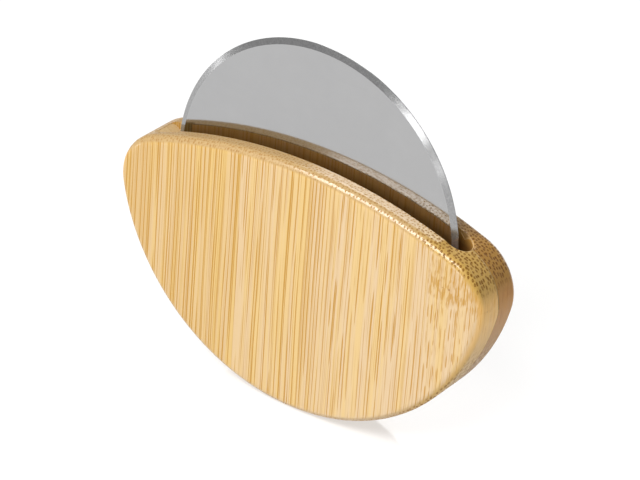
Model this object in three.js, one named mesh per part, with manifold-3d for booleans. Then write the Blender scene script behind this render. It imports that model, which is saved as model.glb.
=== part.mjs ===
// A rolling pizza cutter held in the palm: a steel wheel that turns in the slot of a half-moon bamboo body.
// Millimetres, +Z up. X runs along the body, Y along the axle, and the front face looks along -Y.
// The origin is the point under the axle where the body stands on its round lower edge.

import * as THREE from 'three';
import { mergeVertices } from 'three/addons/utils/BufferGeometryUtils.js';
import Module from 'manifold-3d';

// Cutting wheel
const WHEEL_RADIUS = 42.5;
const WHEEL_THICKNESS = 1.5;
const BEVEL_WIDTH = 1.5; // ground edge, measured along the radius
const EDGE_LAND = 0.2; // narrow flat left at the very edge

// Bamboo body
const SLOT_WIDTH = 6.6;
const POCKET_CLEARANCE = 4.5; // from the wheel's edge to the wall of its pocket
const POCKET_WALL = 9; // bamboo round the pocket, below and at the ends
const POCKET_FLOOR = 4.7; // bamboo between the pocket and each outer face
const CROWN_RISE = 12.6; // top of the body above the axle
const CROWN_RADIUS = 136; // shallow arch of the top edge
const CORNER_RADIUS = 14; // where the top edge turns into the lower edge
const EDGE_ROUND = 2.2; // rounding of the outer edges
const GLUE_LINE = 0.1; // film between the two halves

// Axle, hubs and washers
const AXLE_RADIUS = 2.5;
const AXLE_SKIN = 1.6; // bamboo left over each end of the axle's blind bore
const AXLE_CHAMFER = 0.4;
const HUB_WALL = 2.5; // from the axle to the wheel's bore
const HUB_FLANGE_WIDTH = 3; // how far the flange reaches over the wheel
const HUB_CHAMFER = 0.4;
const WASHER_WIDTH = 4.5; // from the axle to the washer's rim
const WASHER_THICKNESS = 0.5;

// Dowels across the seam
const DOWEL_RADIUS = 2;
const DOWEL_SKIN = 3.5; // bamboo left over each end of a dowel's hole
const DOWEL_CHAMFER = 0.4;
const DOWEL_INSET_DEGREES = 9; // from the body's corner to the first dowel
const DOWEL_NAMES = ['right_upper_dowel', 'right_lower_dowel', 'left_lower_dowel', 'left_upper_dowel'];

// Clearances
const RUNNING_CLEARANCE = 0.08; // between what turns and what stays
const SEAT_CLEARANCE = 0.04; // between a pressed or glued piece and its seat

// Facets on round pieces
const LOWER_STEPS = 45; // odd, so that the middle facet lies flat under the axle
const CROWN_STEPS = 25;
const CORNER_STEPS = 14;
const EDGE_STEPS = 5;
const POCKET_STEPS = 8;
const WHEEL_STEPS = 96;
const SMALL_STEPS = 36;

// Sizes that follow
const POCKET_RADIUS = WHEEL_RADIUS + POCKET_CLEARANCE;
const LOWER_RADIUS = POCKET_RADIUS + POCKET_WALL;
const BODY_THICKNESS = SLOT_WIDTH + 2 * POCKET_FLOOR;
const AXLE_BORE_LENGTH = BODY_THICKNESS - 2 * AXLE_SKIN;
const AXLE_LENGTH = AXLE_BORE_LENGTH - 2 * SEAT_CLEARANCE;
const DOWEL_HOLE_LENGTH = BODY_THICKNESS - 2 * DOWEL_SKIN;
const DOWEL_LENGTH = DOWEL_HOLE_LENGTH - 2 * SEAT_CLEARANCE;
const DOWEL_CIRCLE_RADIUS = POCKET_RADIUS + POCKET_WALL / 2;
const WHEEL_BORE_RADIUS = AXLE_RADIUS + HUB_WALL;
const HUB_FLANGE_RADIUS = WHEEL_BORE_RADIUS + HUB_FLANGE_WIDTH;
const WASHER_RADIUS = AXLE_RADIUS + WASHER_WIDTH;
const WASHER_SEAT = SLOT_WIDTH / 2 - SEAT_CLEARANCE;
const HUB_SHOULDER = WHEEL_THICKNESS / 2 + SEAT_CLEARANCE;
const HUB_FACE = WASHER_SEAT - WASHER_THICKNESS - RUNNING_CLEARANCE;

const wasm = await Module();
wasm.setup();

// Closed solid of a geometry, for cutting
function solid(geometry) {
  const bare = geometry.clone();
  bare.deleteAttribute('normal');
  bare.deleteAttribute('uv');
  const merged = mergeVertices(bare);
  return new wasm.Manifold(
    new wasm.Mesh({
      numProp: 3,
      vertProperties: new Float32Array(merged.attributes.position.array),
      triVerts: new Uint32Array(merged.index.array),
    }),
  );
}

// Geometry of a solid that has been cut
function geometryOf(cut) {
  const mesh = cut.getMesh();
  const geometry = new THREE.BufferGeometry();
  geometry.setAttribute('position', new THREE.BufferAttribute(mesh.vertProperties, mesh.numProp));
  geometry.setIndex(new THREE.BufferAttribute(mesh.triVerts, 1));
  geometry.computeVertexNormals();
  return geometry;
}

// Points of an arc, without its last one, which the next arc starts from
function arc(x, y, radius, from, to, steps) {
  const curve = new THREE.EllipseCurve(x, y, radius, radius, from, to, false);
  return curve.getPoints(steps).slice(0, -1);
}

// Solid of revolution about the axle from points of radius and place along the axle
function turned(points, steps) {
  return new THREE.LatheGeometry(points.map(([radius, along]) => new THREE.Vector2(radius, along)), steps);
}

// Round bar with chamfered ends, centred on the seam
function bar(radius, length, chamfer) {
  const end = length / 2;
  const profile = [
    [0, -end],
    [radius - chamfer, -end],
    [radius, chamfer - end],
    [radius, end - chamfer],
    [radius - chamfer, end],
    [0, end],
  ];
  return turned(profile, SMALL_STEPS);
}

// Centre of the arc that joins the lower edge to the crown, and the angles where it meets them
const crownCentre = CROWN_RISE - CROWN_RADIUS;
const lowerReach = LOWER_RADIUS - CORNER_RADIUS;
const crownReach = CROWN_RADIUS - CORNER_RADIUS;
const cornerZ = (lowerReach ** 2 - crownReach ** 2 + crownCentre ** 2) / (2 * crownCentre);
const cornerX = Math.sqrt(lowerReach ** 2 - cornerZ ** 2);
const lowerAngle = Math.atan2(cornerZ, cornerX);
const crownAngle = Math.atan2(cornerZ - crownCentre, cornerX);
const halfFacet = (Math.PI + 2 * lowerAngle) / LOWER_STEPS / 2;
const AXLE_HEIGHT = LOWER_RADIUS * Math.cos(halfFacet);

// Half-moon outline of the body about the axle, anticlockwise from the right corner
function bodyOutline() {
  return new THREE.Shape([
    ...arc(cornerX, cornerZ, CORNER_RADIUS, lowerAngle, crownAngle, CORNER_STEPS),
    ...arc(0, crownCentre, CROWN_RADIUS, crownAngle, Math.PI - crownAngle, CROWN_STEPS),
    ...arc(-cornerX, cornerZ, CORNER_RADIUS, Math.PI - crownAngle, Math.PI - lowerAngle, CORNER_STEPS),
    ...arc(0, 0, LOWER_RADIUS, Math.PI - lowerAngle, 2 * Math.PI + lowerAngle, LOWER_STEPS),
  ]);
}

// Whole body with rounded edges, before it is hollowed and split
function bodyBlank() {
  const depth = BODY_THICKNESS - 2 * EDGE_ROUND;
  const geometry = new THREE.ExtrudeGeometry(bodyOutline(), {
    depth,
    bevelThickness: EDGE_ROUND,
    bevelSize: EDGE_ROUND,
    bevelOffset: -EDGE_ROUND,
    bevelSegments: EDGE_STEPS,
  });
  return geometry.translate(0, 0, -depth / 2).rotateX(Math.PI / 2);
}

// Space that the wheel turns in: a disc with a fully rounded rim
function wheelPocket() {
  const round = SLOT_WIDTH / 2;
  const rim = new THREE.EllipseCurve(
    POCKET_RADIUS - round, 0, round, round, -Math.PI / 2, Math.PI / 2, false);
  const profile = rim.getPoints(POCKET_STEPS).map((point) => [point.x, point.y]);
  return turned([[0, -round], ...profile, [0, round]], WHEEL_STEPS);
}

// Centres of the dowels in the wall round the pocket, from right to left under the axle
function dowelCentres() {
  const first = lowerAngle - THREE.MathUtils.degToRad(DOWEL_INSET_DEGREES);
  const last = -Math.PI - first;
  return DOWEL_NAMES.map((name, index) => {
    const angle = first + ((last - first) * index) / (DOWEL_NAMES.length - 1);
    return [DOWEL_CIRCLE_RADIUS * Math.cos(angle), DOWEL_CIRCLE_RADIUS * Math.sin(angle)];
  });
}

// Round hole along the axle's direction, blind in both halves
function hole(radius, length, x, z) {
  const cutter = new THREE.CylinderGeometry(radius, radius, length, SMALL_STEPS);
  return cutter.translate(x, 0, z);
}

// Body with its pocket and its holes, still in one piece
function hollowBody() {
  const cutters = [wheelPocket(), hole(AXLE_RADIUS + SEAT_CLEARANCE, AXLE_BORE_LENGTH, 0, 0)];
  for (const [x, z] of dowelCentres()) {
    cutters.push(hole(DOWEL_RADIUS + SEAT_CLEARANCE, DOWEL_HOLE_LENGTH, x, z));
  }
  return cutters.reduce((body, cutter) => body.subtract(solid(cutter)), solid(bodyBlank()));
}

// One half of the body: side is -1 at the front and 1 at the rear
function bodyHalf(body, side) {
  const reach = 4 * LOWER_RADIUS;
  const block = new THREE.BoxGeometry(reach, BODY_THICKNESS, reach);
  block.translate(0, (side * (BODY_THICKNESS + GLUE_LINE)) / 2, 0);
  return geometryOf(body.intersect(solid(block)));
}

// Disc with a bevel ground on both faces
function wheelGeometry() {
  const face = WHEEL_THICKNESS / 2;
  const land = EDGE_LAND / 2;
  const profile = [
    [WHEEL_BORE_RADIUS, -face],
    [WHEEL_RADIUS - BEVEL_WIDTH, -face],
    [WHEEL_RADIUS, -land],
    [WHEEL_RADIUS, land],
    [WHEEL_RADIUS - BEVEL_WIDTH, face],
    [WHEEL_BORE_RADIUS, face],
    [WHEEL_BORE_RADIUS, -face],
  ];
  return turned(profile, WHEEL_STEPS);
}

// Flanged bush: its spigot fills the wheel's bore up to the seam, and its flange reaches the washer
function hubGeometry() {
  const bore = AXLE_RADIUS + RUNNING_CLEARANCE;
  const spigot = WHEEL_BORE_RADIUS - SEAT_CLEARANCE;
  const profile = [
    [bore, SEAT_CLEARANCE],
    [spigot, SEAT_CLEARANCE],
    [spigot, HUB_SHOULDER],
    [HUB_FLANGE_RADIUS, HUB_SHOULDER],
    [HUB_FLANGE_RADIUS, HUB_FACE - HUB_CHAMFER],
    [HUB_FLANGE_RADIUS - HUB_CHAMFER, HUB_FACE],
    [bore, HUB_FACE],
    [bore, SEAT_CLEARANCE],
  ];
  return turned(profile, SMALL_STEPS);
}

// Flat ring that lies against the floor of the pocket
function washerGeometry() {
  const bore = AXLE_RADIUS + SEAT_CLEARANCE;
  const profile = [
    [bore, WASHER_SEAT - WASHER_THICKNESS],
    [WASHER_RADIUS, WASHER_SEAT - WASHER_THICKNESS],
    [WASHER_RADIUS, WASHER_SEAT],
    [bore, WASHER_SEAT],
    [bore, WASHER_SEAT - WASHER_THICKNESS],
  ];
  return turned(profile, SMALL_STEPS);
}

const bamboo = { color: '#e6c894', roughness: 0.6, metalness: 0 };
const bladeSteel = { color: '#b6b6b6', roughness: 0.25, metalness: 1 };
const pinSteel = { color: '#a9abad', roughness: 0.35, metalness: 1 };
const nylon = { color: '#ece8dd', roughness: 0.5, metalness: 0 };
const dowelWood = { color: '#d9b27c', roughness: 0.7, metalness: 0 };

// Named piece with a material of its own
function piece(name, geometry, finish) {
  const mesh = new THREE.Mesh(geometry, new THREE.MeshStandardMaterial(finish));
  mesh.name = name;
  return mesh;
}

// Copy of a rear piece, turned round for the front
function facingFront(mesh) {
  mesh.rotation.z = Math.PI;
  return mesh;
}

const handle = new THREE.Group();
const hollow = hollowBody();
handle.add(piece('front_half', bodyHalf(hollow, -1), bamboo));
handle.add(piece('rear_half', bodyHalf(hollow, 1), bamboo));
handle.add(piece('axle_pin', bar(AXLE_RADIUS, AXLE_LENGTH, AXLE_CHAMFER), pinSteel));
handle.add(facingFront(piece('front_washer', washerGeometry(), pinSteel)));
handle.add(piece('rear_washer', washerGeometry(), pinSteel));
dowelCentres().forEach(([x, z], index) => {
  const dowel = piece(DOWEL_NAMES[index], bar(DOWEL_RADIUS, DOWEL_LENGTH, DOWEL_CHAMFER), dowelWood);
  dowel.position.set(x, 0, z);
  handle.add(dowel);
});

const wheel = new THREE.Group();
wheel.add(piece('cutting_wheel', wheelGeometry(), bladeSteel));
wheel.add(facingFront(piece('front_hub', hubGeometry(), nylon)));
wheel.add(piece('rear_hub', hubGeometry(), nylon));

const pizzaCutter = new THREE.Group();
pizzaCutter.name = 'pizza_cutter';
pizzaCutter.add(handle, wheel);
pizzaCutter.position.z = AXLE_HEIGHT;

export default pizzaCutter;
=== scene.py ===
"""Looks of a palm-held pizza cutter: a polished steel wheel in the slot of a half-moon bamboo body.

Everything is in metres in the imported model's frame: +Z up, X along the body, Y along the axle, and the
front face looking along -Y. The body stands on the floor on its round lower edge.
"""

import logging
import math
from collections.abc import Callable
from dataclasses import dataclass
from enum import Enum
from typing import Any

import bmesh
import bpy
from mathutils import Matrix, Vector


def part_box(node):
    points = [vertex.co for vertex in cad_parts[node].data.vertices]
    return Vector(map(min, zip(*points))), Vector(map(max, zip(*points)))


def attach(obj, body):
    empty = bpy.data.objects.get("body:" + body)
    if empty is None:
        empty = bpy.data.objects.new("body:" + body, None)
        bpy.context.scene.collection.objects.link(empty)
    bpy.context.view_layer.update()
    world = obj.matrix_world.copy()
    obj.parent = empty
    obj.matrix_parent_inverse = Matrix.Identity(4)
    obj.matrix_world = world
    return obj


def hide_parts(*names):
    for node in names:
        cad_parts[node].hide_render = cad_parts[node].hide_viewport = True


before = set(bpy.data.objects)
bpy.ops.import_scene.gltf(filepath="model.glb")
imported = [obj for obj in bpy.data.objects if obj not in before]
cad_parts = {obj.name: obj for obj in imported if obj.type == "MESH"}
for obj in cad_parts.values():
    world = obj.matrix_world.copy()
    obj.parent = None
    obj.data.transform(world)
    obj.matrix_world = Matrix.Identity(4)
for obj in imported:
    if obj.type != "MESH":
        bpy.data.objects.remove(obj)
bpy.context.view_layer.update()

log = logging.getLogger("pizza_cutter")

MM = 0.001
FULL_TURN = 2 * math.pi
ORIGIN = Vector((0.0, 0.0, 0.0)).freeze()
AXLE_DIRECTION = Vector((0.0, 1.0, 0.0)).freeze()
PRESS_FIT = 0.04 * MM
HANDLE_BODY = "handle"
WHEEL_BODY = "wheel"

Object = bpy.types.Object
Material = bpy.types.Material
Edge = bmesh.types.BMEdge
Colour = tuple[float, float, float]
Profile = tuple[tuple[float, float], ...]


class Side(Enum):
    """Which half of the body a piece belongs to, with the sign of its Y."""

    FRONT = -1.0
    REAR = 1.0

    @property
    def word(self) -> str:
        """The side's name as it is written in the names of pieces."""
        return self.name.lower()

    def place(self, profile: Profile) -> Profile:
        """A profile drawn for the rear side, moved to this side."""
        return tuple((radius, self.value * along) for radius, along in profile)


def mirrored(half: Profile) -> Profile:
    """A half of a profile and its mirror image across the middle of the axle, in one run of points."""
    return (*half, *reversed(Side.FRONT.place(half)))


class Element(Enum):
    """A kind of mesh element, with the name of its list in a BMesh."""

    EDGE = "edges"
    FACE = "faces"


class Scatter(Enum):
    """What a pattern of cells scatters, with the dimensions that it has."""

    LINES = "1D"
    DOTS = "2D"
    PITS = "3D"


class Model:
    """A mesh that is modelled with edit-mode operators while its object stays at the origin."""

    POINT_SIZE = 0.1 * MM
    MERGE_DISTANCE = 0.0005 * MM

    def __init__(self, name: str, *points: Vector) -> None:
        """Adds a plane, draws it together to a single point and extrudes that point along a profile.

        Args:
            name: Name of the new object and of its mesh.
            points: The profile's points, or only its first.
        """
        bpy.ops.object.select_all(action="DESELECT")
        bpy.ops.mesh.primitive_plane_add(size=self.POINT_SIZE, location=points[0])
        self.object = bpy.context.object
        self.object.name = name
        self.object.data.name = name
        bpy.ops.object.transform_apply(location=True, rotation=True, scale=True)
        bpy.ops.object.mode_set(mode="EDIT")
        bpy.ops.mesh.select_mode(type="VERT")
        self.select_all()
        bpy.ops.mesh.merge(type="CENTER")
        self.last = Vector(points[0])
        self.line(*points[1:])

    def line(self, *points: Vector) -> None:
        """Extrudes the selected point to the next points of the profile."""
        for point in points:
            bpy.ops.mesh.extrude_region_move(TRANSFORM_OT_translate={"value": point - self.last})
            self.last = Vector(point)

    def spin(self, centre: Vector, angle: float, steps: int, axis: Vector = AXLE_DIRECTION) -> None:
        """Sweeps what is selected about an axis, anticlockwise as seen with the axis pointing away."""
        bpy.ops.mesh.spin(steps=steps, angle=angle, center=centre, axis=tuple(axis))

    def arc(self, centre: Vector, angle: float, steps: int, axis: Vector) -> None:
        """Spins the profile's last point, which is selected, into an arc."""
        self.spin(centre, angle, steps, axis)
        self.last = centre + Matrix.Rotation(-angle, 3, axis) @ (self.last - centre)

    def revolve(self, centre: Vector, steps: int, axis: Vector = AXLE_DIRECTION) -> None:
        """Turns the whole profile through a full circle into a closed shape.

        Args:
            centre: A point on the axis.
            steps: Faces round the shape.
            axis: Direction of the axis.
        """
        self.select_all()
        self.spin(centre, FULL_TURN, steps, axis)
        self.merge()
        self.face_out()

    def select_all(self) -> None:
        """Selects the whole mesh."""
        bpy.ops.mesh.select_all(action="SELECT")

    def merge(self) -> None:
        """Joins points that lie on each other."""
        self.select_all()
        bpy.ops.mesh.remove_doubles(threshold=self.MERGE_DISTANCE)

    def face_out(self) -> None:
        """Turns every face of the closed mesh outwards."""
        self.select_all()
        bpy.ops.mesh.normals_make_consistent(inside=False)

    def select(self, kind: Element, test: Callable[[Any], bool]) -> int:
        """Selects the elements that pass a test, and nothing else.

        Args:
            kind: Edges or faces.
            test: Says whether an element is wanted.

        Returns:
            How many were selected.
        """
        bpy.ops.mesh.select_mode(type=kind.name)
        bpy.ops.mesh.select_all(action="DESELECT")
        mesh = bmesh.from_edit_mesh(self.object.data)
        wanted = [item for item in getattr(mesh, kind.value) if test(item)]
        for item in wanted:
            item.select_set(True)
        bmesh.update_edit_mesh(self.object.data)
        return len(wanted)

    def cap(self, y: float) -> None:
        """Fills the open loop that lies in a plane across the axle.

        Args:
            y: Place of the plane.
        """

        def on_plane(edge: Edge) -> bool:
            """Whether an edge is open and lies in the plane."""
            return edge.is_boundary and all(abs(v.co.y - y) < self.MERGE_DISTANCE for v in edge.verts)

        self.select(Element.EDGE, on_plane)
        bpy.ops.mesh.edge_face_add()

    def leave(self) -> Object:
        """Leaves edit mode and makes the modelled object the only selected one.

        Returns:
            The modelled object.
        """
        bpy.ops.mesh.select_all(action="DESELECT")
        bpy.ops.object.mode_set(mode="OBJECT")
        bpy.ops.object.select_all(action="DESELECT")
        bpy.context.view_layer.objects.active = self.object
        self.object.select_set(True)
        return self.object

    def _apply(self, kind: str, settings: dict[str, Any]) -> None:
        """Adds a modifier and applies it.

        Args:
            kind: The modifier's type.
            settings: Its properties.
        """
        change = self.object.modifiers.new(kind.lower(), kind)
        for key, value in settings.items():
            setattr(change, key, value)
        bpy.ops.object.modifier_apply(modifier=change.name)

    def cut(self, cutter: Object) -> None:
        """Cuts another closed shape, which stays for other cuts, out of this one.

        Args:
            cutter: The shape to take away.
        """
        self.leave()
        self._apply("BOOLEAN", {"operation": "DIFFERENCE", "solver": "EXACT", "object": cutter})
        bpy.ops.object.mode_set(mode="EDIT")

    def smooth(self, degrees: float) -> Object:
        """Leaves edit mode and shades the shape smooth, except along sharp edges.

        Args:
            degrees: Angle between faces from which an edge is sharp.

        Returns:
            The finished object.
        """
        self.leave()
        bpy.ops.object.shade_smooth_by_angle(angle=math.radians(degrees))
        self._apply("WEIGHTED_NORMAL", {"keep_sharp": True})
        return self.object


@dataclass(frozen=True)
class Turned:
    """A piece that a lathe would make: points of radius and place along the axle, turned about it."""

    name: str
    centre: Vector
    profile: Profile
    steps: int = 96
    sharp_degrees: float = 20.0

    def model(self) -> Model:
        """Draws the profile and turns it.

        Returns:
            The closed shape, still in edit mode.
        """
        points = [self.centre + Vector((radius, along, 0.0)) for radius, along in self.profile]
        model = Model(self.name, *points)
        model.revolve(self.centre, self.steps)
        return model

    def build(self) -> Object:
        """Makes the finished object."""
        return self.model().smooth(self.sharp_degrees)


@dataclass(frozen=True, eq=False)
class Wire:
    """An output of a shader node. Arithmetic on it adds Math nodes."""

    paint: "Paint"
    socket: bpy.types.NodeSocket

    def out(self, name: str) -> "Wire":
        """Another output of the same node."""
        return Wire(self.paint, self.socket.node.outputs[name])

    def _math(self, operation: str, first: Any, second: Any = 0.0) -> "Wire":
        """Adds a Math node on two values."""
        return self.paint.node("ShaderNodeMath", {"operation": operation}, {0: first, 1: second})

    def __add__(self, other: Any) -> "Wire":
        """This plus other."""
        return self._math("ADD", self, other)

    __radd__ = __add__

    def __sub__(self, other: Any) -> "Wire":
        """This minus other."""
        return self._math("SUBTRACT", self, other)

    def __rsub__(self, other: Any) -> "Wire":
        """Other minus this."""
        return self._math("SUBTRACT", other, self)

    def __mul__(self, other: Any) -> "Wire":
        """This times other."""
        return self._math("MULTIPLY", self, other)

    __rmul__ = __mul__

    def __truediv__(self, other: Any) -> "Wire":
        """This divided by other."""
        return self._math("DIVIDE", self, other)

    def __pow__(self, other: Any) -> "Wire":
        """This to the power of other."""
        return self._math("POWER", self, other)

    def __abs__(self) -> "Wire":
        """The size of this, without its sign."""
        return self._math("ABSOLUTE", self)

    def floor(self) -> "Wire":
        """The whole number below this."""
        return self._math("FLOOR", self)

    def atan2(self, other: "Wire") -> "Wire":
        """The angle of the point whose height is this and whose width is other."""
        return self._math("ARCTAN2", self, other)

    def hypot(self, other: "Wire") -> "Wire":
        """The distance from zero of the point that has these two coordinates."""
        return (self * self + other * other) ** 0.5

    def greater(self, limit: Any) -> "Wire":
        """1 where this is above the limit, and 0 elsewhere."""
        return self._math("GREATER_THAN", self, limit)


class Paint:
    """A material whose nodes are written as expressions."""

    def __init__(self, name: str) -> None:
        """Starts an empty material.

        Args:
            name: Name of the material.
        """
        self.material = bpy.data.materials.new(name)
        self.material.use_nodes = True
        self.tree = self.material.node_tree
        self.tree.nodes.clear()

    def node(
        self,
        kind: str,
        settings: dict[str, Any] | None = None,
        sockets: dict[int | str, Any] | None = None,
        output: int | str = 0,
    ) -> Wire:
        """Adds a node.

        Args:
            kind: The node's type.
            settings: Properties of the node, set first.
            sockets: A value or a wire for each input, by its name or number.
            output: Which output to return.

        Returns:
            The wire from that output.
        """
        made = self.tree.nodes.new(kind)
        for key, value in (settings or {}).items():
            setattr(made, key, value)
        for key, value in (sockets or {}).items():
            if isinstance(value, Wire):
                self.tree.links.new(value.socket, made.inputs[key])
            else:
                made.inputs[key].default_value = value
        return Wire(self, made.outputs[output])

    def place(self, origin: Vector = ORIGIN) -> tuple[Wire, Wire, Wire]:
        """The surface's own place in millimetres from a point of the frame.

        Args:
            origin: The point to measure from.

        Returns:
            Wires of X, Y and Z.
        """
        coordinates = self.node("ShaderNodeTexCoord", output="Object")
        scale = 1.0 / MM
        placed = self.node(
            "ShaderNodeMapping",
            {"vector_type": "POINT"},
            {"Vector": coordinates, "Location": -scale * origin, "Scale": (scale, scale, scale)},
        )
        parts = self.node("ShaderNodeSeparateXYZ", sockets={0: placed})
        return parts, parts.out("Y"), parts.out("Z")

    def facing(self) -> tuple[Wire, Wire]:
        """How squarely the surface faces along X and along Z.

        Returns:
            Wires from 0, edge on, to 1, face on.
        """
        normal = self.node("ShaderNodeTexCoord", output="Normal")
        parts = self.node("ShaderNodeSeparateXYZ", sockets={0: normal})
        return abs(parts), abs(parts.out("Z"))

    def vector(self, x: Any, y: Any, z: Any = 0.0) -> Wire:
        """A vector of values or wires."""
        return self.node("ShaderNodeCombineXYZ", sockets={0: x, 1: y, 2: z})

    def noise(self, x: Wire, y: Wire, z: Any, detail: float = 1.0, roughness: float = 0.5) -> Wire:
        """Soft noise about 0.5, with features one unit across and finer layers by detail and roughness."""
        sockets = {"Vector": self.vector(x, y, z), "Scale": 1.0, "Detail": detail, "Roughness": roughness}
        return self.node("ShaderNodeTexNoise", sockets=sockets)

    def cells(self, kind: Scatter, where: Wire, spread: float = 1.0) -> Wire:
        """Distance to the nearest of scattered points or lines about one unit apart.

        Args:
            kind: What is scattered.
            where: The place to read it at, or across the lines.
            spread: How far they stray from even steps.

        Returns:
            The distance. Its Color output is random for each point or line.
        """
        entry = "W" if kind is Scatter.LINES else "Vector"
        return self.node(
            "ShaderNodeTexVoronoi",
            {"voronoi_dimensions": kind.value, "feature": "F1"},
            {entry: where, "Scale": 1.0, "Randomness": spread},
        )

    def luck(self, cells: Wire) -> Wire:
        """A random value for each point or line of cells, with two more in Green and Blue."""
        return self.node("ShaderNodeSeparateColor", sockets={0: cells.out("Color")})

    def ramp(self, value: Wire, low: float, high: float) -> Wire:
        """A straight rise from 0 at low to 1 at high. Low may be above high."""
        return self.node("ShaderNodeMapRange", sockets={"Value": value, "From Min": low, "From Max": high})

    def step(self, value: Wire, low: float | Wire, high: float | Wire) -> Wire:
        """A soft step from 0 at low to 1 at high. Low may be above high."""
        sockets = {"Value": value, "From Min": low, "From Max": high}
        return self.node("ShaderNodeMapRange", {"interpolation_type": "SMOOTHSTEP"}, sockets)

    def _blend(self, blend: str, share: Any, first: Any, second: Any) -> Wire:
        """Blends two colours.

        Args:
            blend: How they blend.
            share: How much of the blend is used, from 0 to 1.
            first: A colour or its wire.
            second: A colour or its wire.

        Returns:
            The new colour.
        """
        first, second = (c if isinstance(c, Wire) else (*c, 1.0) for c in (first, second))
        settings = {"data_type": "RGBA", "blend_type": blend, "clamp_factor": True}
        return self.node("ShaderNodeMix", settings, {0: share, 6: first, 7: second}, output=2)

    def mix(self, share: Any, first: Any, second: Any) -> Wire:
        """Goes from the first colour to the second by a share from 0 to 1."""
        return self._blend("MIX", share, first, second)

    def multiply(self, share: Any, colour: Any, factor: Any) -> Wire:
        """Multiplies a colour by a factor for each channel, by a share from 0 to 1."""
        return self._blend("MULTIPLY", share, colour, factor)

    def lit(self, colour: Colour, level: Wire) -> Wire:
        """A colour times a level."""
        return self.multiply(1.0, colour, self.vector(level, level, level))

    def bump(self, height: Wire, depth: float, strength: float) -> Wire:
        """Relief for a Normal socket, from a height of 0 to 1 and a depth in metres."""
        sockets = {"Height": height, "Distance": depth, "Strength": strength}
        return self.node("ShaderNodeBump", sockets=sockets)

    def finish(self, sockets: dict[str, Any]) -> Material:
        """Ends the material with its shader.

        Args:
            sockets: A value or a wire for each of the shader's inputs that is set.

        Returns:
            The material.
        """
        shader = self.node("ShaderNodeBsdfPrincipled", sockets=sockets)
        end = self.tree.nodes.new("ShaderNodeOutputMaterial")
        self.tree.links.new(shader.socket, end.inputs["Surface"])
        return self.material


@dataclass(frozen=True)
class PocketPlace:
    """Where the wheel's pocket lies in a board, so that its cut walls can be told from the outside.

    The points are in the frame, and the lengths are in millimetres.
    """

    centre: Vector
    radius: float
    half_width: float
    mouth_half_length: float
    mouth_half_width: float
    crown_centre: Vector
    crown_radius: float


@dataclass(frozen=True)
class Fibres:
    """How a board's fibres lie at a place on its surface, with lengths in millimetres."""

    paint: Paint
    x: Wire
    y: Wire
    z: Wire
    across: Wire
    strip: Wire
    joint: Wire
    knuckle: Wire


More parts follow.
